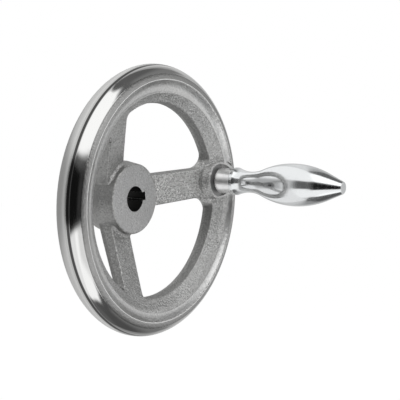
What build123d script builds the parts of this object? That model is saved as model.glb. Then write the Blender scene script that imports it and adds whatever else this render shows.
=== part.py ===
from build123d import *
from math import acos, degrees, hypot, radians, sqrt, tan
import os

# Machine handwheel with a revolving handle, in millimetres.
# The wheel stands upright. Its bore lies along Y, the handle points to -Y and +Z is up.
# The origin is on the bore's axis, in the plane of the hub's rear face.
# "Station" below means the distance from that rear face towards the handle side.

os.makedirs("parts", exist_ok=True)

# ---------------------------------------------------------------- hub and bore
HUB_LENGTH = 18.0
HUB_DIAMETER = 35.4             # at the parting line, where the draft makes it widest
HUB_EDGE_RADIUS = 0.9           # cast round at the edge of both machined faces
HUB_FILLET = 1.2                # where the spokes run into the hub
BORE_DIAMETER = 12.0
KEYWAY_WIDTH = 4.0
KEYWAY_HEIGHT = 13.8            # from the bore's far wall to the keyway's floor

# ------------------------------------------------------------------------- rim
RIM_DIAMETER = 125.0
RIM_WIDTH = 15.0
HUB_RECESS = 19.0               # the hub's front face lies this far behind the rim's front
BEAD_HALF_DEPTH = 8.8           # radial half-axis of the turned bead's oval
BEAD_DEPTH = 7.2                # radial, from the rim's outside to the step where the bead ends
BEAD_STEP = 0.35                # the cast ring lies this far below the turned bead

# ------------------------------- dished web: the spokes and the ring in one casting
SHOULDER_INSET = 5.0            # the dish's front runs straight from the hub to this far from the bead
SHOULDER_DROP = 2.6             # and is there this far behind the rim's front
HUB_SETBACK = 3.4               # at the hub, the dish's front lies this far behind the hub face
WEB_THICKNESS = 7.6             # at the hub, measured along the wheel's axis
RING_BACK_INSET = 6.8           # the dish's back runs straight from the hub to this far from the bead
RING_BACK_RECESS = 5.2          # and is there this far in front of the rim's back
BEAD_BACK_RECESS = 1.0          # beside the bead, the ring's back is this far in front of it
SHOULDER_RADIUS = 3.0           # softens both of these bends
WEB_EDGE_RADIUS = 0.7           # on the edges of the spokes and the windows

# --------------------------------------------------------- spokes and windows
SPOKE_COUNT = 3
HANDLE_ANGLE = 14.0             # the handle spoke rises this much above the horizontal, in degrees
SPOKE_HUB_WIDTH = 16.4          # at the hub, on the parting line
SPOKE_RIM_WIDTH = 15.0          # at the ring, on the parting line
WINDOW_INSET = 10.6             # from the bead to the windows' outer wall, on the parting line
WINDOW_CORNER_RADIUS = 2.0
BOSS_CORNER_RADIUS = 5.0        # the same, in the two corners beside the handle's boss
DRAFT_ANGLE = 10.0              # of every cast wall, away from the parting line

# ----------------------------------------------------------------- handle boss
HANDLE_INSET = 7.3              # from the bead to the handle's axis
BOSS_DIAMETER = 19.8            # at the parting line
BOSS_TOP_DROP = 3.4             # the boss's top lies this far behind the rim's front
BOSS_BACK_RECESS = 0.5          # its back face lies this far in front of the rim's back
BOSS_EDGE_RADIUS = 0.6          # cast round at the edge of both ends
SPOT_FACE_DIAMETER = 16.0
SPOT_FACE_DEPTH = 0.3

# -------------------------------------------------------------- handle spindle
THREAD_DIAMETER = 8.0           # M8, drawn plain at its nominal diameter
THREAD_LENGTH = 10.0
THREAD_CHAMFER = 0.9
THREAD_CLEARANCE = 0.05         # radial
COLLAR_DIAMETER = 12.4
COLLAR_LENGTH = 9.5
COLLAR_BASE_CHAMFER = 1.6
COLLAR_TOP_CHAMFER = 0.3
JOURNAL_DIAMETER = 6.6
JOURNAL_LENGTH = 40.0
JOURNAL_CHAMFER = 0.6
GROOVE_TO_END = 4.0             # from the journal's free end to the middle of its groove
GROOVE_DEPTH = 0.75

# ---------------------------------------------------------------- handle grip
GRIP_LENGTH = 58.8
GRIP_DIAMETER = 20.2            # of the belly
BELLY_POSITION = 33.3           # from the grip's open end
NECK_DIAMETER = 10.2
NECK_POSITION = 9.2             # from the grip's open end
NECK_CURVE_RADIUS = 17.6
GRIP_END_DIAMETER = 13.5
GRIP_END_ROUND = 0.3
TIP_FACE_DIAMETER = 5.6
TIP_ROUND = 0.5
JOURNAL_CLEARANCE = 0.05        # radial running fit of the grip on the journal
GRIP_END_CLEARANCE = 0.15       # between the collar and the grip
BORE_END_CLEARANCE = 1.5        # between the journal's end and the bottom of the grip's bore
DRILL_POINT_ANGLE = 118.0

# --------------------------------------------------------- grip retaining ring
RING_RADIAL_WIDTH = 1.2
RING_THICKNESS = 1.1
RING_GAP = 1.6
RING_INNER_CLEARANCE = 0.05     # radial, between the ring and the floor of the journal's groove
RING_OUTER_CLEARANCE = 0.25     # radial, between the ring and the floor of the grip's groove
RING_SIDE_CLEARANCE = 0.15      # between the ring and each side of its two grooves

# -------------------------------------------------- stations and radii worked out
RIM_FRONT = HUB_LENGTH + HUB_RECESS
RIM_BACK = RIM_FRONT - RIM_WIDTH
RIM_MIDDLE = RIM_FRONT - RIM_WIDTH / 2
BOSS_TOP = RIM_FRONT - BOSS_TOP_DROP
SEAT = BOSS_TOP - SPOT_FACE_DEPTH                       # the spindle's collar sits here
COLLAR_TOP = SEAT + COLLAR_LENGTH
JOURNAL_END = COLLAR_TOP + JOURNAL_LENGTH
GROOVE_MIDDLE = JOURNAL_END - GROOVE_TO_END
GROOVE_WIDTH = RING_THICKNESS + 2 * RING_SIDE_CLEARANCE
GRIP_START = COLLAR_TOP + GRIP_END_CLEARANCE
GRIP_BORE_RADIUS = JOURNAL_DIAMETER / 2 + JOURNAL_CLEARANCE
RING_INNER_RADIUS = JOURNAL_DIAMETER / 2 - GROOVE_DEPTH + RING_INNER_CLEARANCE
RING_OUTER_RADIUS = RING_INNER_RADIUS + RING_RADIAL_WIDTH

HUB_RADIUS = HUB_DIAMETER / 2
RIM_RADIUS = RIM_DIAMETER / 2
BEAD_INNER_RADIUS = RIM_RADIUS - BEAD_DEPTH
SHOULDER_RADIAL = BEAD_INNER_RADIUS - SHOULDER_INSET
RING_BACK_RADIAL = BEAD_INNER_RADIUS - RING_BACK_INSET
WINDOW_OUTER_RADIUS = BEAD_INNER_RADIUS - WINDOW_INSET
HANDLE_CENTRE_RADIUS = BEAD_INNER_RADIUS - HANDLE_INSET
DRAFT = tan(radians(DRAFT_ANGLE))
SPOKE_PITCH = 360 / SPOKE_COUNT
ON_SURFACE = 0.03               # an edge this close to a surface is taken to lie on it

# ---------------------------------------------------------------------- planes
# FACE is the plane of the hub's rear face: x to the right, y up, z towards the handle side.
FACE = Plane(origin=(0, 0, 0), x_dir=(1, 0, 0), z_dir=(0, -1, 0))
# SECTION cuts the wheel through its axis: x is the radius, y the station.
SECTION = Plane(origin=(0, 0, 0), x_dir=(1, 0, 0), z_dir=(0, 0, -1))
WHEEL_AXIS = Axis((0, 0, 0), (0, -1, 0))

# HANDLE_FACE and HANDLE_SECTION are the same two planes, moved to the handle's axis.
HANDLE_CENTRE = FACE.from_local_coords(Vector(HANDLE_CENTRE_RADIUS, 0).rotate(Axis.Z, HANDLE_ANGLE))
HANDLE_FACE = Plane(origin=HANDLE_CENTRE, x_dir=FACE.x_dir, z_dir=FACE.z_dir)
HANDLE_SECTION = Plane(origin=HANDLE_CENTRE, x_dir=SECTION.x_dir, z_dir=SECTION.z_dir)
HANDLE_AXIS = Axis(HANDLE_CENTRE, (0, -1, 0))


# ------------------------------------------------------- the dish as a function
def between(x, x0, y0, x1, y1):
    """The straight line through (x0, y0) and (x1, y1), at x."""
    return y0 + (y1 - y0) * (x - x0) / (x1 - x0)


def dish_front(radius):
    """Station of the dish's front at this radius."""
    hub_station = HUB_LENGTH - HUB_SETBACK
    return between(radius, HUB_RADIUS, hub_station, SHOULDER_RADIAL, RIM_FRONT - SHOULDER_DROP)


def dish_back(radius):
    """Station of the dish's back at this radius."""
    hub_station = HUB_LENGTH - HUB_SETBACK - WEB_THICKNESS
    return between(radius, HUB_RADIUS, hub_station, RING_BACK_RADIAL, RIM_BACK + RING_BACK_RECESS)


def parting(radius):
    """Station of the parting line: halfway through the dish."""
    return (dish_front(radius) + dish_back(radius)) / 2


def edge_radius(edge):
    """Distance of an edge's middle from the wheel's axis."""
    middle = edge.position_at(0.5)
    return hypot(middle.X, middle.Z)


def edge_station(edge):
    """Station of an edge's middle."""
    return -edge.position_at(0.5).Y


def rims_of(section, parting_station):
    """Outer corners of a turned section's two ends: neither on the axis nor on the parting line."""
    outer = section.vertices().sort_by(Axis.X)[2:]
    return outer.filter_by(lambda vertex: abs(vertex.Y - parting_station) > ON_SURFACE)


# ========================================================= casting cores of the windows
WEB_INNER_RADIUS = HUB_RADIUS - 2 * HUB_FILLET          # the web's bare start, inside the hub
CORE_MARGIN = 1.0                                       # the core reaches this far past the casting


def spoke_gap(station, side):
    """Space between two spokes at this station, out to the rim."""

    def half_spoke(radius):
        half_width = between(
            radius, HUB_RADIUS, SPOKE_HUB_WIDTH / 2, WINDOW_OUTER_RADIUS, SPOKE_RIM_WIDTH / 2
        )
        return half_width - side * DRAFT * (station - parting(radius))

    with BuildSketch(FACE.offset(station)) as gap:
        Circle(RIM_RADIUS)
        for hand in (1, -1):
            Polygon(
                (-RIM_RADIUS, hand * half_spoke(0)),
                (0, hand * half_spoke(0)),
                (RIM_RADIUS, hand * half_spoke(RIM_RADIUS)),
                (RIM_RADIUS, -hand * RIM_RADIUS),
                (-RIM_RADIUS, -hand * RIM_RADIUS),
                rotation=-hand * SPOKE_PITCH / 2,
                mode=Mode.SUBTRACT,
            )
    return gap.sketch


def half_core(side, start, end, lower_radius, upper_radius):
    """One half of a window's core between two stations, drafted from the parting line.

    The side is 1 for the front half and -1 for the back half: away from the parting
    line, the window grows and the spokes beside it get narrower. The two radii are
    those of the corners where these spokes meet the ring.
    """
    parting_station = parting(WINDOW_OUTER_RADIUS)
    with BuildPart() as core:
        loft([spoke_gap(start, side), spoke_gap(end, side)], ruled=True)
        with Locations(FACE.offset(start)):
            Cone(
                bottom_radius=WINDOW_OUTER_RADIUS + side * DRAFT * (start - parting_station),
                top_radius=WINDOW_OUTER_RADIUS + side * DRAFT * (end - parting_station),
                height=end - start,
                align=(Align.CENTER, Align.CENTER, Align.MIN),
                mode=Mode.INTERSECT,
            )
        for radius, place in ((lower_radius, 0), (upper_radius, -1)):
            between_ends = core.edges().filter_by(
                lambda edge: edge.bounding_box().size.Y > end - start - ON_SURFACE
            )
            fillet(between_ends.sort_by(Axis.Z)[place], radius)
    return core.part


def window_core(number):
    """Core of one window, counted from the handle's spoke; the first and last lie beside it."""
    lower_radius = BOSS_CORNER_RADIUS if number == 0 else WINDOW_CORNER_RADIUS
    upper_radius = BOSS_CORNER_RADIUS if number == SPOKE_COUNT - 1 else WINDOW_CORNER_RADIUS
    front_start = parting(WEB_INNER_RADIUS - CORE_MARGIN)
    back_start = dish_back(WEB_INNER_RADIUS) - CORE_MARGIN
    back_end = parting(WINDOW_OUTER_RADIUS + CORE_MARGIN)
    with BuildPart() as core:
        add(half_core(1, front_start, RIM_FRONT, lower_radius, upper_radius))
        add(half_core(-1, back_start, back_end, lower_radius, upper_radius))
    return core.part.rotate(WHEEL_AXIS, HANDLE_ANGLE + SPOKE_PITCH * (number + 0.5))


window_cores = [window_core(number) for number in range(SPOKE_COUNT)]

# ================================================================== handwheel
bead_centre = RIM_RADIUS - BEAD_HALF_DEPTH
bead_narrowing = sqrt(1 - ((BEAD_INNER_RADIUS - bead_centre) / BEAD_HALF_DEPTH) ** 2)
bead_half_width = RIM_WIDTH / 2 / bead_narrowing        # the oval's full half-width, at its centre

with BuildPart() as handwheel:
    # the rim's turned oval bead, the cast ring inside it and the dished web, as one revolve
    with BuildSketch(SECTION) as wheel_section:
        with Locations((bead_centre, RIM_MIDDLE)):
            Ellipse(BEAD_HALF_DEPTH, bead_half_width)
        with Locations((BEAD_INNER_RADIUS, RIM_MIDDLE)):
            inner_half = (2 * BEAD_HALF_DEPTH, 2 * bead_half_width)
            Rectangle(*inner_half, align=(Align.MAX, Align.CENTER), mode=Mode.SUBTRACT)
        Polygon(
            (WEB_INNER_RADIUS, dish_front(WEB_INNER_RADIUS)),
            (SHOULDER_RADIAL, dish_front(SHOULDER_RADIAL)),
            (BEAD_INNER_RADIUS + BEAD_STEP, RIM_FRONT - BEAD_STEP),
            (BEAD_INNER_RADIUS + BEAD_STEP, RIM_BACK + BEAD_BACK_RECESS),
            (RING_BACK_RADIAL, dish_back(RING_BACK_RADIAL)),
            (WEB_INNER_RADIUS, dish_back(WEB_INNER_RADIUS)),
        )
        bends = wheel_section.vertices().filter_by_position(
            Axis.X, RING_BACK_RADIAL - BEAD_STEP, SHOULDER_RADIAL + BEAD_STEP
        )
        fillet(bends, SHOULDER_RADIUS)
    revolve(axis=WHEEL_AXIS)

    # the windows between the spokes
    add(window_cores, mode=Mode.SUBTRACT)

    # the round on the windows' edges, front and back
    for dish in (dish_front, dish_back):
        window_edges = handwheel.edges().filter_by(
            lambda edge: WEB_INNER_RADIUS < edge_radius(edge) < RING_BACK_RADIAL - WEB_EDGE_RADIUS
            and abs(edge_station(edge) - dish(edge_radius(edge))) < ON_SURFACE
        )
        fillet(window_edges, WEB_EDGE_RADIUS)

    # the hub, drafted both ways from the parting line
    hub_parting = parting(HUB_RADIUS)
    with BuildSketch(SECTION) as hub_section:
        Polygon(
            (0, 0),
            (HUB_RADIUS - DRAFT * hub_parting, 0),
            (HUB_RADIUS, hub_parting),
            (HUB_RADIUS - DRAFT * (HUB_LENGTH - hub_parting), HUB_LENGTH),
            (0, HUB_LENGTH),
        )
        fillet(rims_of(hub_section, hub_parting), HUB_EDGE_RADIUS)
    revolve(axis=WHEEL_AXIS)

    def on_hub(edge):
        """Whether an edge runs round a spoke's root on the drafted side of the hub."""
        station = edge_station(edge)
        hub_surface = HUB_RADIUS - DRAFT * abs(station - hub_parting)
        off_parting = abs(station - hub_parting) > ON_SURFACE
        inside = HUB_EDGE_RADIUS < station < HUB_LENGTH - HUB_EDGE_RADIUS
        on_surface = abs(edge_radius(edge) - hub_surface) < ON_SURFACE
        return inside and off_parting and on_surface and edge.geom_type != GeomType.LINE

    fillet(handwheel.edges().filter_by(on_hub), HUB_FILLET)

    # the handle's boss, drafted both ways too
    boss_parting = parting(HANDLE_CENTRE_RADIUS)
    boss_back = RIM_BACK + BOSS_BACK_RECESS
    with BuildSketch(HANDLE_SECTION) as boss_section:
        Polygon(
            (0, boss_back),
            (BOSS_DIAMETER / 2 - DRAFT * (boss_parting - boss_back), boss_back),
            (BOSS_DIAMETER / 2, boss_parting),
            (BOSS_DIAMETER / 2 - DRAFT * (BOSS_TOP - boss_parting), BOSS_TOP),
            (0, BOSS_TOP),
        )
        fillet(rims_of(boss_section, boss_parting), BOSS_EDGE_RADIUS)
    revolve(axis=HANDLE_AXIS)

    # spot face and tapped hole for the handle
    with Locations(HANDLE_FACE.offset(RIM_FRONT)):
        CounterBoreHole(
            radius=THREAD_DIAMETER / 2 + THREAD_CLEARANCE,
            counter_bore_radius=SPOT_FACE_DIAMETER / 2,
            counter_bore_depth=RIM_FRONT - SEAT,
            depth=RIM_FRONT,
        )

    # bore and keyway; the keyway faces the handle
    with Locations(FACE.offset(HUB_LENGTH)):
        Hole(BORE_DIAMETER / 2, depth=HUB_LENGTH)
    with BuildSketch(FACE):
        keyway_reach = KEYWAY_HEIGHT - BORE_DIAMETER / 2
        Rectangle(keyway_reach, KEYWAY_WIDTH, rotation=HANDLE_ANGLE, align=(Align.MIN, Align.CENTER))
    extrude(amount=HUB_LENGTH, mode=Mode.SUBTRACT)

handwheel.part.label = "handwheel"

# ============================================================== handle spindle
with BuildPart() as handle_spindle:
    with BuildSketch(HANDLE_SECTION):
        with Locations((0, SEAT)):
            Rectangle(THREAD_DIAMETER / 2, THREAD_LENGTH, align=(Align.MIN, Align.MAX))
            Rectangle(COLLAR_DIAMETER / 2, COLLAR_LENGTH, align=(Align.MIN, Align.MIN))
        with Locations((0, COLLAR_TOP)):
            Rectangle(JOURNAL_DIAMETER / 2, JOURNAL_LENGTH, align=(Align.MIN, Align.MIN))
        with Locations((JOURNAL_DIAMETER / 2, GROOVE_MIDDLE)):
            Rectangle(2 * GROOVE_DEPTH, GROOVE_WIDTH, mode=Mode.SUBTRACT)
    revolve(axis=HANDLE_AXIS)

    rings = handle_spindle.edges().filter_by(GeomType.CIRCLE).sort_by(Axis.Y, reverse=True)
    chamfer(rings[0], THREAD_CHAMFER)
    collar_rings = rings.filter_by(lambda ring: abs(ring.radius - COLLAR_DIAMETER / 2) < THREAD_CLEARANCE)
    chamfer(collar_rings[0], COLLAR_BASE_CHAMFER)
    chamfer(collar_rings[1], COLLAR_TOP_CHAMFER)
    chamfer(rings[-1], JOURNAL_CHAMFER)

handle_spindle.part.label = "handle_spindle"

# ================================================================= handle grip
# The outline is a neck arc and a belly arc that touch, then a straight taper to the tip.
grip_end_radius = GRIP_END_DIAMETER / 2
tip_radius = TIP_FACE_DIAMETER / 2
swell = (GRIP_DIAMETER - NECK_DIAMETER) / 2
neck_to_belly = BELLY_POSITION - NECK_POSITION
belly_radius = (neck_to_belly**2 + swell**2) / (2 * swell) - NECK_CURVE_RADIUS

neck_centre = Vector(NECK_DIAMETER / 2 + NECK_CURVE_RADIUS, GRIP_START + NECK_POSITION)
belly_centre = Vector(GRIP_DIAMETER / 2 - belly_radius, GRIP_START + BELLY_POSITION)
neck_point = neck_centre - Vector(NECK_CURVE_RADIUS, 0)
belly_point = belly_centre + Vector(belly_radius, 0)
arcs_meet = neck_centre + (belly_centre - neck_centre).normalized() * NECK_CURVE_RADIUS

neck_start_rise = sqrt(NECK_CURVE_RADIUS**2 - (neck_centre.X - grip_end_radius) ** 2)
neck_start = Vector(grip_end_radius, neck_centre.Y - neck_start_rise)
tip = Vector(tip_radius, GRIP_START + GRIP_LENGTH)
to_tip = tip - belly_centre
taper_turn = degrees(acos(belly_radius / to_tip.length))
taper_start = belly_centre + to_tip.normalized().rotate(Axis.Z, -taper_turn) * belly_radius

with BuildPart() as handle_grip:
    with BuildSketch(HANDLE_SECTION):
        with BuildLine():
            Polyline((0, GRIP_START), (grip_end_radius, GRIP_START), neck_start)
            ThreePointArc(neck_start, neck_point, arcs_meet)
            ThreePointArc(arcs_meet, belly_point, taper_start)
            Polyline(taper_start, tip, (0, tip.Y), (0, GRIP_START))
        make_face()
    revolve(axis=HANDLE_AXIS)

    faces_of_ends = handle_grip.faces().filter_by(GeomType.PLANE).sort_by(Axis.Y)
    fillet(faces_of_ends.first.edges(), TIP_ROUND)
    fillet(faces_of_ends.last.edges(), GRIP_END_ROUND)

    # the blind bore with its drill point, and the groove for the retaining ring
    bore_bottom = JOURNAL_END + BORE_END_CLEARANCE
    drill_point = GRIP_BORE_RADIUS / tan(radians(DRILL_POINT_ANGLE / 2))
    with BuildSketch(HANDLE_SECTION):
        Polygon(
            (0, GRIP_START),
            (GRIP_BORE_RADIUS, GRIP_START),
            (GRIP_BORE_RADIUS, bore_bottom),
            (0, bore_bottom + drill_point),
        )
        with Locations((0, GROOVE_MIDDLE)):
            grip_groove_radius = RING_OUTER_RADIUS + RING_OUTER_CLEARANCE
            Rectangle(grip_groove_radius, GROOVE_WIDTH, align=(Align.MIN, Align.CENTER))
    revolve(axis=HANDLE_AXIS, mode=Mode.SUBTRACT)

handle_grip.part.label = "handle_grip"

# ========================================================= grip retaining ring
with BuildPart() as grip_retaining_ring:
    with BuildSketch(HANDLE_FACE.offset(GROOVE_MIDDLE)):
        Circle(RING_OUTER_RADIUS)
        Circle(RING_INNER_RADIUS, mode=Mode.SUBTRACT)
        Rectangle(2 * RING_OUTER_RADIUS, RING_GAP, align=(Align.MIN, Align.CENTER), mode=Mode.SUBTRACT)
    extrude(amount=RING_THICKNESS / 2, both=True)

grip_retaining_ring.part.label = "grip_retaining_ring"

# ---------------------------------------------------------------------- export
for piece in (handwheel, handle_spindle, handle_grip, grip_retaining_ring):
    export_step(piece.part, f"parts/{piece.part.label}.step")
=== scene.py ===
"""Finishes, fine surface work, studio and camera for a machine handwheel.

The wheel is one grey-iron casting with a turned and polished rim. A polished steel
grip turns on a spindle that is screwed into one spoke. Everything is in metres, in
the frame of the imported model: the bore lies along Y, the handle points to -Y and +Z
is up. A "station" is the distance from the hub's rear face towards the handle side.
"""

import logging
import math
from dataclasses import dataclass
from enum import Enum

import bpy
from bpy.types import Material, NodeSocket, NodeTree, Object
from mathutils import Matrix, Vector

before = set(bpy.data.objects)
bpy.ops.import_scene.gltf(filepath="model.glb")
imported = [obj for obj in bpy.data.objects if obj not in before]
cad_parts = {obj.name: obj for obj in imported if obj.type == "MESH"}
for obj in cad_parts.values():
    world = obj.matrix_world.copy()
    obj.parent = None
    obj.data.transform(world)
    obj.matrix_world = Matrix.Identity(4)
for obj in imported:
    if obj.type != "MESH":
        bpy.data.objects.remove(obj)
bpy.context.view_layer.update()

LOG = logging.getLogger("handwheel")
MM = 0.001
METAL = 1.0

# sockets of the Mix node: its factor, and what it mixes as numbers or as colours
FACTOR, NUMBER_A, NUMBER_B = 0, 2, 3
COLOUR_A, COLOUR_B, COLOUR_OUT = 6, 7, 2

Colour = tuple[float, float, float, float]
Point = tuple[float, float, float]
Range = tuple[float, float]

# lowest, highest, and the width over which it fades at both
Limits = tuple[float, float, float]
# limits beyond every value that is found on the wheel, where a region stays open
UNDER, OVER = -1.0, 200.0


def linear(hex_colour: str) -> Colour:
    """Turn an sRGB hex colour into the linear RGBA that shader sockets take.

    Args:
        hex_colour: Six hex digits, such as "9A9A98".

    Returns:
        Linear red, green, blue and an alpha of 1.
    """
    parts = [int(hex_colour[i : i + 2], 16) / 255 for i in (0, 2, 4)]
    curve = [c / 12.92 if c <= 0.04045 else ((c + 0.055) / 1.055) ** 2.4 for c in parts]
    return (curve[0], curve[1], curve[2], 1.0)


class Tree:
    """A node tree under construction."""

    def __init__(self, tree: NodeTree) -> None:
        """Keep the tree and empty it.

        Args:
            tree: The node tree of a material or of the world.
        """
        self.tree = tree
        tree.nodes.clear()

    def add(
        self,
        kind: str,
        inputs: dict[str | int, object] | None = None,
        out: str | int = 0,
        **settings: object,
    ) -> NodeSocket | None:
        """Add a node, set it up and feed its inputs.

        Args:
            kind: The node's type, such as "ShaderNodeMath".
            inputs: Input name or number to a socket, or to a plain value for that input.
            out: Name or number of the output that is wanted.
            **settings: Attributes of the node itself.

        Returns:
            That output, or None where the node has no outputs.
        """
        node = self.tree.nodes.new(kind)
        for name, value in settings.items():
            setattr(node, name, value)
        for name, value in (inputs or {}).items():
            if isinstance(value, NodeSocket):
                self.tree.links.new(value, node.inputs[name])
            else:
                node.inputs[name].default_value = value
        return node.outputs[out] if node.outputs else None


def new_material(name: str) -> tuple[Material, Tree]:
    """Make an empty node material.

    Args:
        name: Its name.

    Returns:
        The material and its node tree.
    """
    made = bpy.data.materials.new(name)
    made.use_nodes = True
    return made, Tree(made.node_tree)


class Place:
    """Where a point of the surface lies on the wheel, in millimetres."""

    def __init__(self, tree: Tree) -> None:
        """Work out the place across the wheel and along its axis.

        Args:
            tree: The material's tree.
        """
        self.tree = tree
        metres = tree.add("ShaderNodeTexCoord", out="Object")
        scaled = {0: metres, "Scale": 1 / MM}
        self.point = tree.add("ShaderNodeVectorMath", scaled, operation="SCALE")
        split = tree.add("ShaderNodeSeparateXYZ", {"Vector": self.point}).node.outputs
        self.along = split["Y"]
        self.across = tree.add("ShaderNodeCombineXYZ", {"X": split["X"], "Z": split["Z"]})

    def from_axis(self, crossing: Point) -> NodeSocket:
        """Distance from an axis along Y that crosses the wheel's plane at this point."""
        ends = {0: self.across, 1: crossing}
        return self.tree.add("ShaderNodeVectorMath", ends, "Value", operation="DISTANCE")


@dataclass(frozen=True)
class WheelSizes:
    """Where the wheel's differently worked surfaces lie, in millimetres and degrees."""

    # the bead: its inner edge, and the line that ends its polish
    bead_inner_radius: float = 55.3
    polish_radius: float = 58.15
    polish_station: float = 31.6
    # the ring inside it, and the part that the last turning skimmed, a little off centre
    ring_radius: float = 44.0
    ring_front_station: float = 31.0
    turned_radius: float = 50.6
    turned_station: float = 33.0
    turning_offset: tuple[float, float] = (1.7, -0.8)
    # the hub's two faces, and the bore with its keyway
    hub_length: float = 18.0
    hub_face_radius: float = 16.4
    keyway_reach: float = 8.5
    # the handle, and the boss and spot face that carry it
    handle_centre_radius: float = 48.0
    handle_angle: float = 14.0
    boss_edge_radius: float = 9.0
    boss_station: float = 24.0
    spot_face_radius: float = 8.0
    spot_face_station: float = 33.3

    def wheel_axis(self) -> Point:
        """Where the wheel's own axis crosses its plane."""
        return (0.0, 0.0, 0.0)

    def turning_axis(self) -> Point:
        """Where the axis of the last turning crosses the wheel's plane."""
        return (self.turning_offset[0], 0.0, self.turning_offset[1])

    def handle_axis(self) -> Point:
        """Where the handle's axis crosses the wheel's plane.

        Returns:
            The point, with y left at 0.
        """
        angle = math.radians(self.handle_angle)
        reach = self.handle_centre_radius
        return (reach * math.cos(angle), 0.0, reach * math.sin(angle))


class Measure(Enum):
    """What the limits of a region are measured by, each named as the region's field."""

    RADIUS = "radius"
    TURNING = "turning"
    STATION = "station"
    REACH = "reach"
    FACING = "facing"


@dataclass(frozen=True, kw_only=True)
class Region:
    """A part of the wheel's surface, given by the limits that it lies within.

    The radius is from the wheel's axis, the turning from the axis of the last turning
    and the reach from the handle's axis. They and the station are in millimetres. The
    facing is 1 on a face across the wheel's axis and 0 on a wall along it.
    """

    radius: Limits | None = None
    turning: Limits | None = None
    station: Limits | None = None
    reach: Limits | None = None
    facing: Limits | None = None

    def mask(self, tree: Tree, fields: dict[Measure, NodeSocket]) -> NodeSocket | None:
        """Make the region's mask.

        Args:
            tree: The material's tree.
            fields: The socket for each measure.

        Returns:
            A socket that is 1 inside the region and 0 outside it.
        """
        mask = None
        for measure, field in fields.items():
            limits = getattr(self, measure.value)
            if limits is None:
                continue
            low, high, fade = limits
            middle, half = (low + high) / 2, (high - low) / 2
            apart = tree.add("ShaderNodeMath", {0: field, 1: middle}, operation="SUBTRACT")
            apart = tree.add("ShaderNodeMath", {0: apart}, operation="ABSOLUTE")
            span = {"Value": apart, "From Min": half + fade / 2, "From Max": half - fade / 2}
            inside = tree.add("ShaderNodeMapRange", span, interpolation_type="SMOOTHSTEP")
            if mask is not None:
                inside = tree.add("ShaderNodeMath", {0: mask, 1: inside}, operation="MULTIPLY")
            mask = inside
        return mask


@dataclass(frozen=True)
class Zone(Region):
    """A region with a finish of its own.

    The grain is the share of the cast skin that shows in it, and the marks are those
    of turning. Some zones hold painted shade or a painted highlight in place of a finish.
    """

    colour: str
    roughness: float
    mark_height_mm: float = 0.0
    grain: float = 0.0


@dataclass(frozen=True)
class Wave:
    """A rise of the ring's surface from one radius to another, in millimetres."""

    start: float
    end: float
    rise: float


@dataclass(frozen=True)
class CastSkin:
    """The patterns of a sand-cast skin, each a socket between 0 and 1."""

    clumps: NodeSocket
    lumps: NodeSocket
    clouds: NodeSocket
    sand: NodeSocket
    pits: NodeSocket


@dataclass(frozen=True)
class Layers:
    """What the zones, laid over each other, give each point of the surface."""

    colour: NodeSocket
    roughness: NodeSocket
    grain: NodeSocket
    mark_height: NodeSocket


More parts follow.
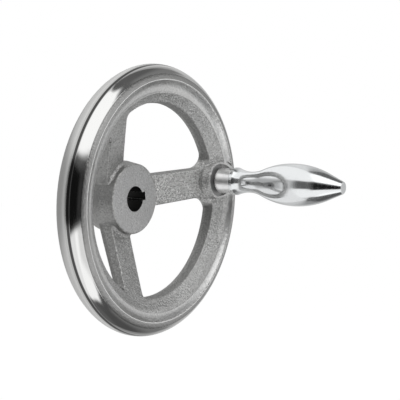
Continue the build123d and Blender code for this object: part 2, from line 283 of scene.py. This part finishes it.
@dataclass(frozen=True)
class GreyIron:
    """Grey cast iron: sand-cast skin, with the rim turned and polished and the hub faced.

    The cast skin is light grey with a fine, sparkling grain and a few dark pits; its
    edges are lightened, partly as rubbed wear and partly as a painted highlight, and its
    walls, flanks and boss carry painted shade. The front of the bead mirrors the room;
    its inner flank, its rear half and the shoulder inside it are only turned, so they
    stay satin, the inner flank painted darker as shade, and a fine dark line of painted
    shade parts them. The faced hub is smooth and even; the bore is painted dark as shade.
    """

    sizes: WheelSizes

    cast: str = "C4C4C3"
    cast_roughness: float = 0.40
    roughness_spread: float = 0.3
    # the print of the sand, as grit and as clumps of it; moulding sand has grains of
    # 0.25 mm, too fine to see here, so the grit is drawn coarser
    grit_mm: float = 0.45
    grit_share: float = 0.7
    clump_mm: float = 0.9
    clump_range: Range = (0.36, 0.64)
    sand_contrast: float = 1.0
    # slow clouds of tone, which also make the sand's print weaker or stronger
    cloud_mm: float = 15.0
    cloud_contrast: float = 0.4
    cloud_range: Range = (0.35, 0.65)
    sand_strength: Range = (0.55, 1.2)
    # relief of clumps and lumps: the patterns' full swing, of which a third is reached
    skin_height_mm: float = 1.0
    lump_mm: float = 3.5
    lump_share: float = 0.4
    # pits, which lie only where the clouds' value is in or over this range
    pit: str = "3E3E3D"
    pit_spacing_mm: float = 5.0
    pit_radius_mm: float = 0.55
    pit_floor_mm: float = 0.25
    pit_depth: float = 0.5
    pit_clouds: Range = (0.56, 0.60)
    # turning marks, coarser than the tool's feed of 0.2 mm, which would not be seen
    mark_mm: float = 0.35
    # edges that are slightly round and lightened, partly rubbed bright by wear and partly a painted
    # highlight,
    # in hollow creases as well: the range is the cosine of the angle that the rounding turns the
    # surface by
    edge_wear_and_highlight: str = "FAFAF9"
    edge_radius_mm: float = 0.5
    edge_samples: int = 6
    edge_wear_and_highlight_range: Range = (0.985, 0.90)
    # waves that pattern and turning left in the ring; the last one steepens the cove
    # beside the bead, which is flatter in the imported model
    waves: tuple[Wave, ...] = (
        Wave(46.5, 50.0, 0.3), Wave(50.0, 52.2, -0.3), Wave(52.2, 57.4, 2.2))

    def cast_zones(self) -> tuple[Zone, ...]:
        """The parts of the casting whose skin is different, the painted shade of its walls, and the
        boss.

        Returns:
            The zones, in the order in which they are laid over the skin.
        """
        size = self.sizes
        boss, spot = size.boss_edge_radius, size.spot_face_station
        return (
            # the ring, whose skin came out of the mould a little smoother
            Zone(self.cast, self.cast_roughness, grain=0.75,
                 radius=(size.ring_radius, size.bead_inner_radius, 4.0)),
            # window walls and spoke flanks, painted darker as shade, since they see little light
            Zone("969695", 0.45, grain=0.5,
                 facing=(UNDER, 0.475, 0.45), reach=(boss + 2.5, OVER, 3.0)),
            # the boss: painted shade on its side, a lighter lip that is partly rubbed wear and
            # partly a painted highlight, and painted shade in its spot face round the collar
            Zone("BCBCBB", 0.45, grain=0.9,
                 reach=(boss, boss + 2.6, 1.2), station=(size.boss_station, OVER, 1.0)),
            Zone("D8D8D7", 0.40, grain=0.6,
                 reach=(UNDER, boss, 0.5), station=(spot - 0.5, OVER, 0.5)),
            Zone("A0A0A0", 0.42, mark_height_mm=0.02,
                 reach=(UNDER, size.spot_face_radius, 0.05),
                 station=(spot - 0.1, spot + 0.06, 0.05)),
        )

    def rim_zones(self) -> tuple[Zone, ...]:
        """The parts of the rim that were turned, and those that were polished as well, with painted
        shade and highlights along the edges of the polish.

        Returns:
            The zones, in the order in which they are laid over the skin.
        """
        size = self.sizes
        edge, polish, line = size.bead_inner_radius, size.polish_radius, size.polish_station
        bead = (edge, OVER, 0.05)
        outer, polished = (polish, OVER, 0.1), (polish, OVER, 0.3)
        front = (line, OVER, 0.3)
        return (
            # the shoulder inside the bead, turned and left satin
            Zone("DCDCDB", 0.34, mark_height_mm=0.012, grain=0.3, radius=(UNDER, edge, 0.3),
                 turning=(size.turned_radius, OVER, 0.4), station=(size.turned_station, OVER, 1.0)),
            # the bead, turned: greyer behind, and glossier just behind the line
            Zone("DADAD9", 0.36, mark_height_mm=0.02, radius=bead),
            Zone("C4C4C3", 0.36, mark_height_mm=0.02, radius=bead,
                 station=(UNDER, line - 1.8, 2.5)),
            Zone("C4C4C3", 0.20, mark_height_mm=0.01, radius=outer,
                 station=(line - 1.0, line, 0.8)),
            # its inner flank, painted darker as shade, with deeper painted shade in a line next to
            # the polish
            Zone("B0B0AF", 0.30, mark_height_mm=0.03, grain=0.2,
                 radius=(edge, polish, 0.3), station=front),
            Zone("989897", 0.30, mark_height_mm=0.03, grain=0.2,
                 radius=(polish - 0.5, polish + 0.1, 0.5), station=front),
            # its polished front, with a painted dark reflection in a narrow strip next to the line
            Zone("E3E3E2", 0.085, mark_height_mm=0.004, radius=polished, station=front),
            Zone("4C4C4C", 0.085, mark_height_mm=0.004, radius=polished,
                 station=(line + 0.2, line + 1.0, 0.4)),
            # a painted highlight along its inner edge, and painted shade, as of a fine groove,
            # along the line that ends the polish
            Zone("FCFCFB", 0.5, radius=(edge - 0.1, edge + 0.35, 0.1),
                 station=(line, OVER, 0.1)),
            Zone("4A4A49", 0.085, radius=outer, station=(line - 0.15, line + 0.35, 0.3)),
        )

    def hub_zones(self) -> tuple[Zone, ...]:
        """The bore, painted dark as shade, and the two faced ends of the hub.

        Returns:
            The zones, in the order in which they are laid over the skin.
        """
        size = self.sizes
        skim, fade = 0.03, 0.02
        faces = ((size.hub_length - skim, OVER, fade), (UNDER, skim, fade))
        return (
            # the bore and keyway, painted dark as the shade deep inside them
            Zone("444443", 0.5, mark_height_mm=0.01, radius=(UNDER, size.keyway_reach, fade)),
            *(Zone("C1C1C1", 0.34, mark_height_mm=0.05, grain=0.45,
                   radius=(UNDER, size.hub_face_radius, 0.05), station=face) for face in faces),
        )

    def fields(self, tree: Tree, place: Place) -> dict[Measure, NodeSocket]:
        """Work out what the regions' limits are measured by.

        Args:
            tree: The material's tree.
            place: The place on the wheel.

        Returns:
            A socket for each measure.
        """
        size = self.sizes
        normal = tree.add("ShaderNodeTexCoord", out="Normal")
        normal = tree.add("ShaderNodeSeparateXYZ", {"Vector": normal}, "Y")
        return {
            Measure.RADIUS: place.from_axis(size.wheel_axis()),
            Measure.TURNING: place.from_axis(size.turning_axis()),
            Measure.STATION: tree.add(
                "ShaderNodeMath", {0: place.along, 1: -1.0}, operation="MULTIPLY"),
            Measure.REACH: place.from_axis(size.handle_axis()),
            Measure.FACING: tree.add("ShaderNodeMath", {0: normal}, operation="ABSOLUTE"),
        }

    def skin(self, tree: Tree, place: Place) -> CastSkin:
        """Make the patterns of the cast skin.

        Args:
            tree: The material's tree.
            place: The place on the wheel.

        Returns:
            The patterns.
        """
        point = place.point
        clumps = tree.add("ShaderNodeTexNoise", {
            "Vector": point, "Scale": 1 / self.clump_mm, "Detail": 1.0})
        lumps = tree.add("ShaderNodeTexNoise", {"Vector": point, "Scale": 1 / self.lump_mm})
        clouds = tree.add("ShaderNodeTexNoise", {"Vector": point, "Scale": 1 / self.cloud_mm})
        cells = {"Vector": point, "Scale": 1 / self.grit_mm}
        grit = tree.add("ShaderNodeTexVoronoi", cells, "Color")
        grit = tree.add("ShaderNodeSeparateColor", {"Color": grit})
        low, high = self.clump_range
        sand = tree.add("ShaderNodeMapRange", {"Value": clumps, "From Min": low, "From Max": high})
        sand = tree.add("ShaderNodeMix", {FACTOR: self.grit_share, NUMBER_A: sand, NUMBER_B: grit})
        spacing = self.pit_spacing_mm
        cells = {"Vector": point, "Scale": 1 / spacing}
        pits = tree.add("ShaderNodeTexVoronoi", cells, "Distance")
        span = {"From Min": self.pit_radius_mm / spacing, "From Max": self.pit_floor_mm / spacing}
        pits = tree.add("ShaderNodeMapRange", {"Value": pits, **span},
                        interpolation_type="SMOOTHSTEP")
        low, high = self.pit_clouds
        chosen = tree.add("ShaderNodeMapRange", {
            "Value": clouds, "From Min": low, "From Max": high})
        pits = tree.add("ShaderNodeMath", {0: pits, 1: chosen}, operation="MULTIPLY")
        return CastSkin(clumps, lumps, clouds, sand, pits)

    def layers(self, tree: Tree, fields: dict[Measure, NodeSocket]) -> Layers:
        """Lay the zones over the cast skin.

        Args:
            tree: The material's tree.
            fields: The socket for each measure.

        Returns:
            The colour, roughness, grain and height of the marks that they add up to.
        """
        colour, rough, grain, height = linear(self.cast), self.cast_roughness, 1.0, 0.0
        for zone in (*self.cast_zones(), *self.rim_zones(), *self.hub_zones()):
            mask = zone.mask(tree, fields)
            tones = {FACTOR: mask, COLOUR_A: colour, COLOUR_B: linear(zone.colour)}
            colour = tree.add("ShaderNodeMix", tones, COLOUR_OUT, data_type="RGBA")
            rough = tree.add("ShaderNodeMix", {
                FACTOR: mask, NUMBER_A: rough, NUMBER_B: zone.roughness})
            grain = tree.add("ShaderNodeMix", {
                FACTOR: mask, NUMBER_A: grain, NUMBER_B: zone.grain})
            height = tree.add("ShaderNodeMix", {
                FACTOR: mask, NUMBER_A: height, NUMBER_B: zone.mark_height_mm})
        return Layers(colour, rough, grain, height)

    def tones(self, tree: Tree, skin: CastSkin, layers: Layers) -> tuple[NodeSocket, NodeSocket]:
        """Let the skin's patterns vary the colour and the roughness.

        Args:
            tree: The material's tree.
            skin: The patterns.
            layers: The zones' colour, roughness and grain.

        Returns:
            The colour and the roughness.
        """
        low, high = self.cloud_range
        weak, strong = self.sand_strength
        strength = tree.add("ShaderNodeMapRange", {
            "Value": skin.clouds, "From Min": low, "From Max": high,
            "To Min": weak, "To Max": strong})
        strength = tree.add("ShaderNodeMath", {0: strength, 1: layers.grain}, operation="MULTIPLY")
        sandy = tree.add("ShaderNodeMath", {0: skin.sand, 1: 0.5}, operation="SUBTRACT")
        sandy = tree.add("ShaderNodeMath", {0: sandy, 1: strength}, operation="MULTIPLY")
        cloudy = tree.add("ShaderNodeMath", {0: skin.clouds, 1: 0.5}, operation="SUBTRACT")
        cloudy = tree.add("ShaderNodeMath", {0: cloudy, 1: layers.grain}, operation="MULTIPLY")
        tone = tree.add("ShaderNodeMath", {
            0: sandy, 1: self.sand_contrast, 2: 1.0}, operation="MULTIPLY_ADD")
        tone = tree.add("ShaderNodeMath", {
            0: cloudy, 1: self.cloud_contrast, 2: tone}, operation="MULTIPLY_ADD")
        colour = tree.add("ShaderNodeVectorMath", {
            0: layers.colour, "Scale": tone}, operation="SCALE")
        dark = tree.add("ShaderNodeMath", {0: skin.pits, 1: layers.grain}, operation="MULTIPLY")
        shades = {FACTOR: dark, COLOUR_A: colour, COLOUR_B: linear(self.pit)}
        colour = tree.add("ShaderNodeMix", shades, COLOUR_OUT, data_type="RGBA")
        rough = tree.add("ShaderNodeMath", {
            0: sandy, 1: -self.roughness_spread, 2: layers.roughness}, operation="MULTIPLY_ADD")
        return colour, rough

    def relief(self, tree: Tree, fields: dict[Measure, NodeSocket],
               skin: CastSkin, layers: Layers) -> NodeSocket:
        """Add up the heights of the skin, of the turning marks and of the ring's waves.

        Args:
            tree: The material's tree.
            fields: The socket for each measure.
            skin: The patterns.
            layers: The share of the skin that is left, and the height of the marks.

        Returns:
            A height in millimetres.
        """
        rough = tree.add("ShaderNodeMix", {
            FACTOR: self.lump_share, NUMBER_A: skin.clumps, NUMBER_B: skin.lumps})
        rough = tree.add("ShaderNodeMath", {
            0: skin.pits, 1: -self.pit_depth, 2: rough}, operation="MULTIPLY_ADD")
        rough = tree.add("ShaderNodeMath", {
            0: rough, 1: self.skin_height_mm}, operation="MULTIPLY")
        rough = tree.add("ShaderNodeMath", {0: rough, 1: layers.grain}, operation="MULTIPLY")

        # turning marks run round the axis, so they depend on radius and station alone
        rings = tree.add("ShaderNodeCombineXYZ", {
            "X": fields[Measure.RADIUS], "Y": fields[Measure.STATION]})
        marks = tree.add("ShaderNodeTexNoise", {"Vector": rings, "Scale": 1 / self.mark_mm})
        height = tree.add("ShaderNodeMath", {
            0: marks, 1: layers.mark_height, 2: rough}, operation="MULTIPLY_ADD")

        waves = 0.0
        for wave in self.waves:
            step = tree.add("ShaderNodeMapRange", {
                "Value": fields[Measure.RADIUS], "From Min": wave.start, "From Max": wave.end,
                "To Max": wave.rise}, interpolation_type="SMOOTHSTEP")
            waves = tree.add("ShaderNodeMath", {0: step, 1: waves}, operation="ADD")
        size = self.sizes
        ring = Region(
            radius=(UNDER, size.bead_inner_radius, 0.05),
            station=(size.ring_front_station, OVER, 2.0),
            reach=(size.boss_edge_radius + 0.5, OVER, 1.0),
        )
        return tree.add("ShaderNodeMath", {
            0: ring.mask(tree, fields), 1: waves, 2: height}, operation="MULTIPLY_ADD")

    def material(self) -> Material:
        """Build the node material.

        Returns:
            The finished material.
        """
        made, tree = new_material("grey_iron_cast_and_turned")
        place = Place(tree)
        fields = self.fields(tree, place)
        skin = self.skin(tree, place)
        layers = self.layers(tree, fields)
        colour, rough = self.tones(tree, skin, layers)

        rounded = tree.add("ShaderNodeBevel", {
            "Radius": self.edge_radius_mm * MM}, samples=self.edge_samples)
        true_normal = tree.add("ShaderNodeNewGeometry", out="Normal")
        bend = tree.add("ShaderNodeVectorMath", {
            0: rounded, 1: true_normal}, "Value", operation="DOT_PRODUCT")
        # lighten the edges: partly rubbed wear, partly a painted highlight that also falls in
        # hollow creases
        start, full = self.edge_wear_and_highlight_range
        edge_wear_and_highlight = tree.add("ShaderNodeMapRange", {
            "Value": bend, "From Min": start, "From Max": full})
        edge_wear_and_highlight = tree.add("ShaderNodeMath", {0: edge_wear_and_highlight, 1: skin.sand}, operation="MULTIPLY")
        shades = {FACTOR: edge_wear_and_highlight, COLOUR_A: colour, COLOUR_B: linear(self.edge_wear_and_highlight)}
        colour = tree.add("ShaderNodeMix", shades, COLOUR_OUT, data_type="RGBA")

        relief = self.relief(tree, fields, skin, layers)
        bump = tree.add("ShaderNodeBump", {
            "Height": relief, "Distance": MM, "Strength": 1.0, "Normal": rounded})
        surface = tree.add("ShaderNodeBsdfPrincipled", {
            "Base Color": colour, "Metallic": METAL, "Roughness": rough, "Normal": bump})
        tree.add("ShaderNodeOutputMaterial", {"Surface": surface})
        return made


@dataclass(frozen=True)
class RoundSteel:
    """Steel that was turned or drawn, and left so or polished bright afterwards.

    Turned steel shows fine rings round its axis and a broad, soft highlight; polished
    steel mirrors the room almost sharply. The marks run round the handle's axis.
    """

    name: str
    colour: str
    roughness: float
    mark_pitch_mm: float
    mark_height_mm: float
    scratch_roughness: float
    axis: Point
    scratch_range: Range = (0.52, 0.62)
    smudge_mm: float = 9.0
    smudge_spread: float = 0.25

    def material(self) -> Material:
        """Build the node material.

        Returns:
            The finished material.
        """
        made, tree = new_material(self.name)
        place = Place(tree)
        rings = tree.add("ShaderNodeCombineXYZ", {
            "X": place.from_axis(self.axis), "Y": place.along})
        marks = tree.add("ShaderNodeTexNoise", {
            "Vector": rings, "Scale": 1 / self.mark_pitch_mm, "Detail": 2.0})
        smudge = tree.add("ShaderNodeTexNoise", {
            "Vector": place.point, "Scale": 1 / self.smudge_mm, "Detail": 2.0})
        rough = tree.add("ShaderNodeMapRange", {
            "Value": smudge,
            "To Min": self.roughness * (1 - self.smudge_spread),
            "To Max": self.roughness * (1 + self.smudge_spread)})
        low, high = self.scratch_range
        scratched = tree.add("ShaderNodeMapRange", {
            "Value": marks, "From Min": low, "From Max": high})
        rough = tree.add("ShaderNodeMix", {
            FACTOR: scratched, NUMBER_A: rough, NUMBER_B: self.scratch_roughness})
        bump = tree.add("ShaderNodeBump", {
            "Height": marks, "Distance": self.mark_height_mm * MM, "Strength": 1.0})
        surface = tree.add("ShaderNodeBsdfPrincipled", {
            "Base Color": linear(self.colour), "Metallic": METAL,
            "Roughness": rough, "Normal": bump})
        tree.add("ShaderNodeOutputMaterial", {"Surface": surface})
        return made


@dataclass(frozen=True)
class Handwheel:
    """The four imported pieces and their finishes."""

    sizes: WheelSizes = WheelSizes()

    def finishes(self) -> dict[str, GreyIron | RoundSteel]:
        """Choose the finish of each piece.

        Returns:
            The finishes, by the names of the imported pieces.
        """
        axis = self.sizes.handle_axis()
        return {
            "handwheel": GreyIron(self.sizes),
            # left as turned: a soft, pale band with rings, which are drawn coarser than
            # the tool's feed of 0.2 mm, as that would be too fine to see
            "handle_spindle": RoundSteel(
                "turned_steel_dull", "FAFAFA", roughness=0.27, mark_pitch_mm=0.7,
                mark_height_mm=0.020, scratch_roughness=0.4, axis=axis),
            # polished after turning: the room in it is almost sharp, with faint hairlines
            "handle_grip": RoundSteel(
                "steel_turned_and_polished", "F0F2F3", roughness=0.10, mark_pitch_mm=0.10,
                mark_height_mm=0.0008, scratch_roughness=0.26, axis=axis),
            # drawn wire: greyer and duller, hidden inside the grip
            "grip_retaining_ring": RoundSteel(
                "drawn_spring_steel", "A8A8A6", roughness=0.35, mark_pitch_mm=0.2,
                mark_height_mm=0.01, scratch_roughness=0.5, axis=axis),
        }

    def dress(self) -> None:
        """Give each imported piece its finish."""
        for name, finish in self.finishes().items():
            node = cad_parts[name]
            made = finish.material()
            if not node.data.materials:
                node.data.materials.append(made)
            for number in range(len(node.data.materials)):
                node.data.materials[number] = made
            LOG.info("%s: %s", name, made.name)


@dataclass(frozen=True)
class Viewpoint:
    """The camera: where it stands round the wheel and how it is turned.

    Angles are in degrees. The camera's own directions are worked out from three turns
    of the wheel's frame, whose x is right, y up and z along the bore to the handle.
    """

    azimuth: float = 55.512
    tilt: float = 0.9064
    roll: float = -3.880
    right_mm: float = 20.807
    up_mm: float = 0.271
    distance_mm: float = 450.0
    centre_station_mm: float = 29.5
    lens_mm: float = 87.952
    sensor_mm: float = 36.0
    nearest_mm: float = 10.0

    def place(self) -> Object:
        """Make the camera and set it as the scene's.

        Returns:
            The camera object.
        """
        turned = (
            Matrix.Rotation(math.radians(self.roll), 3, "Z")
            @ Matrix.Rotation(math.radians(self.tilt), 3, "X")
            @ Matrix.Rotation(math.radians(self.azimuth), 3, "Y")
        )
        to_world = Matrix(((1, 0, 0), (0, 0, -1), (0, 1, 0)))
        axes = to_world @ turned.transposed()
        stand = axes @ Vector((self.right_mm, self.up_mm, self.distance_mm)) * MM
        stand.y -= self.centre_station_mm * MM
        data = bpy.data.cameras.new("camera")
        data.sensor_fit = "HORIZONTAL"
        data.sensor_width = self.sensor_mm
        data.lens = self.lens_mm
        data.clip_start = self.nearest_mm * MM
        camera = bpy.data.objects.new("camera", data)
        camera.matrix_world = Matrix.Translation(stand) @ axes.to_4x4()
        bpy.context.scene.collection.objects.link(camera)
        bpy.context.scene.camera = camera
        return camera


@dataclass(frozen=True)
class Patch:
    """One part of the room as polished metal mirrors it.

    Angles are in degrees round the object: azimuth from the camera's side towards the
    camera's right, elevation upwards. The elevation limits are given at both azimuths,
    and the patch fades over its softness.
    """

    azimuth: Range
    low: Range
    high: Range
    level: float
    softness: float

    def cover(self, azimuth: float, elevation: float) -> float:
        """How much of this direction the patch covers.

        Args:
            azimuth: Degrees, between -180 and 180.
            elevation: Degrees.

        Returns:
            0 outside the patch, 1 inside it.
        """
        start, end = self.azimuth
        share = min(max((azimuth - start) / (end - start), 0.0), 1.0)
        low = self.low[0] + (self.low[1] - self.low[0]) * share
        high = self.high[0] + (self.high[1] - self.high[0]) * share
        inside = min(azimuth - start, end - azimuth, elevation - low, high - elevation)
        return min(max(inside / self.softness + 0.5, 0.0), 1.0)


@dataclass(frozen=True)
class SoftBox:
    """A rectangular lamp that faces the object, in degrees like a patch and in metres."""

    name: str
    azimuth: float
    elevation: float
    distance: float
    width: float
    height: float
    watts: float


@dataclass(frozen=True)
class Studio:
    """Pale floor, soft boxes, and a room that only polished metal shows."""

    camera: Object
    floor_height: float = -0.6
    floor_half_width: float = 12.0
    dome_radius: float = 0.6
    dome_columns: int = 180
    dome_rows: int = 90
    room_level: float = 0.42
    soft_boxes: tuple[SoftBox, ...] = (
        SoftBox("soft_box_upper", 30, 48, distance=1.3, width=1.5, height=1.0, watts=3.2),
        SoftBox("soft_box_lower", 38, -40, distance=0.8, width=0.8, height=0.6, watts=0.9),
    )
    # each patch is laid over those before it
    patches: tuple[Patch, ...] = (
        Patch((-181, 181), (28, 28), (91, 91), 0.75, 24),             # pale ceiling
        Patch((-181, 181), (-91, -91), (-30, -30), 0.60, 14),         # pale ground
        Patch((-181, -20), (26, 26), (91, 91), 0.95, 10),             # white card, upper left
        Patch((-181, -50), (-91, -91), (-24, -24), 0.82, 10),         # white card, lower left
        Patch((-54, 8), (-76, -76), (-19, -19), 0.95, 6),             # white card below
        Patch((-22, 68), (30, 12), (79, 79), 1.20, 6),                # upper soft box
        Patch((4, 62), (-72, -72), (-20, -5), 1.15, 6),               # lower soft box
        Patch((20, 62), (-36, -36), (-16, -4), 0.84, 10),             # its dimmer corner
        Patch((-24, 50), (-27, -9), (29.8, 14.5), 0.10, 4),           # dim wall behind the camera
        Patch((-50, -18), (-20, -20), (24.5, 24.5), 0.115, 6),        # its left end
        Patch((-74, -57), (-28, -28), (16, 16), 0.66, 5),             # bright opening beyond it
        Patch((-24, 56), (-24.5, -6), (22.8, 5), 0.006, 5),           # dark gap round the camera
        Patch((20, 60), (-12, -8), (13, 10), 0.035, 12),              # its lighter end
        Patch((62, 165), (-30, -30), (30, 30), 0.62, 10),             # light wall on the right
        Patch((62, 98), (-30, -30), (30, 30), 0.80, 10),              # its brighter near end
        Patch((100, 150), (2, 2), (30, 30), 0.44, 12),                # its shaded upper middle
        Patch((120, 150), (-30, -30), (4, 4), 0.50, 12),              # and lower middle
        Patch((130, 160), (-91, -91), (-38, -38), 0.30, 14),          # shaded ground beyond it
        Patch((54, 138), (-91, -91), (-35, -38), 0.085, 8),           # dark ground on the right
        Patch((74, 140), (-50, -50), (-36, -36), 0.20, 10),           # its paler edge
        Patch((16, 62), (-91, -91), (-74, -52), 0.09, 6),             # corner, lower soft box
        Patch((-16, 150), (-91, -91), (-73, -73), 0.12, 6),           # dark ground below
        Patch((132, 152), (38, 38), (91, 91), 0.42, 14),              # shaded ceiling
        Patch((61, 134), (36, 38), (91, 91), 0.12, 8),                # dark ceiling on the right
        Patch((80, 135), (36, 36), (52, 52), 0.22, 10),               # its paler edge
        Patch((22, 68), (82, 53), (91, 91), 0.11, 6),                 # corner, upper soft box
    )

    def build(self) -> None:
        """Make everything that surrounds the object."""
        self.world()
        self.floor()
        self.dome()
        for box in self.soft_boxes:
            self.hang(box)

    def direction(self, azimuth: float, elevation: float) -> Vector:
        """The direction from the object at these angles.

        Args:
            azimuth: Degrees from the camera's side, towards the camera's right.
            elevation: Degrees above the horizontal.

        Returns:
            A unit vector.
        """
        toward = self.camera.matrix_world.translation
        turn = math.atan2(toward.y, toward.x) + math.radians(azimuth)
        rise = math.radians(elevation)
        level = math.cos(rise)
        return Vector((math.cos(turn) * level, math.sin(turn) * level, math.sin(rise)))

    def world(self) -> None:
        """White surroundings, also where metal mirrors them."""
        world = bpy.data.worlds.new("studio")
        bpy.context.scene.world = world
        world.use_nodes = True
        tree = Tree(world.node_tree)
        back = tree.add("ShaderNodeBackground", {"Color": linear("FFFFFF"), "Strength": 1.0})
        tree.add("ShaderNodeOutputWorld", {"Surface": back})

    def floor(self) -> None:
        """A wide, matt, pale floor below the object."""
        mesh = bpy.data.meshes.new("floor")
        half = self.floor_half_width
        corners = [(-half, -half, 0), (half, -half, 0), (half, half, 0), (-half, half, 0)]
        mesh.from_pydata(corners, [], [(0, 1, 2, 3)])
        plane = bpy.data.objects.new("floor", mesh)
        plane.location.z = self.floor_height
        bpy.context.scene.collection.objects.link(plane)
        made, tree = new_material("pale_matt_floor")
        matt = tree.add("ShaderNodeBsdfDiffuse", {"Color": linear("FFFFFF")})
        tree.add("ShaderNodeOutputMaterial", {"Surface": matt})
        mesh.materials.append(made)

    def dome(self) -> None:
        """The room as a dome that lights nothing and shows only in reflections."""
        columns, rows = self.dome_columns, self.dome_rows
        points, levels = [], []
        for i in range(columns):
            azimuth = -180 + 360 * i / columns
            for j in range(rows + 1):
                elevation = -90 + 180 * j / rows
                level = self.room_level
                for patch in self.patches:
                    level += (patch.level - level) * patch.cover(azimuth, elevation)
                points.append(self.direction(azimuth, elevation) * self.dome_radius)
                levels.append(level)
        faces = []
        for i in range(columns):
            here, there = i * (rows + 1), (i + 1) % columns * (rows + 1)
            faces += [(here + j, there + j, there + j + 1, here + j + 1) for j in range(rows)]
        mesh = bpy.data.meshes.new("room")
        mesh.from_pydata(points, [], faces)
        mesh.attributes.new("level", "FLOAT", "POINT").data.foreach_set("value", levels)
        made, tree = new_material("room")
        level = tree.add("ShaderNodeAttribute", out="Fac", attribute_name="level")
        glow = tree.add("ShaderNodeEmission", {"Color": linear("FFFFFF"), "Strength": level})
        tree.add("ShaderNodeOutputMaterial", {"Surface": glow})
        mesh.materials.append(made)
        dome = bpy.data.objects.new("room", mesh)
        bpy.context.scene.collection.objects.link(dome)
        dome.visible_camera = False
        dome.visible_diffuse = False
        dome.visible_shadow = False

    def hang(self, box: SoftBox) -> None:
        """Hang one soft box.

        Args:
            box: Where it hangs, its size and its power.
        """
        data = bpy.data.lights.new(box.name, "AREA")
        data.shape = "RECTANGLE"
        data.size, data.size_y = box.width, box.height
        data.energy = box.watts
        lamp = bpy.data.objects.new(box.name, data)
        way = self.direction(box.azimuth, box.elevation)
        lamp.location = way * box.distance
        lamp.rotation_euler = way.to_track_quat("Z", "Y").to_euler()
        lamp.visible_camera = False
        bpy.context.scene.collection.objects.link(lamp)


def main() -> None:
    """Build the finishes, the studio and the camera."""
    logging.basicConfig(level=logging.INFO, format="%(name)s %(message)s")
    bpy.context.scene.view_settings.view_transform = "Standard"
    Handwheel().dress()
    camera = Viewpoint().place()
    Studio(camera).build()


if __name__ == "__main__":
    main()
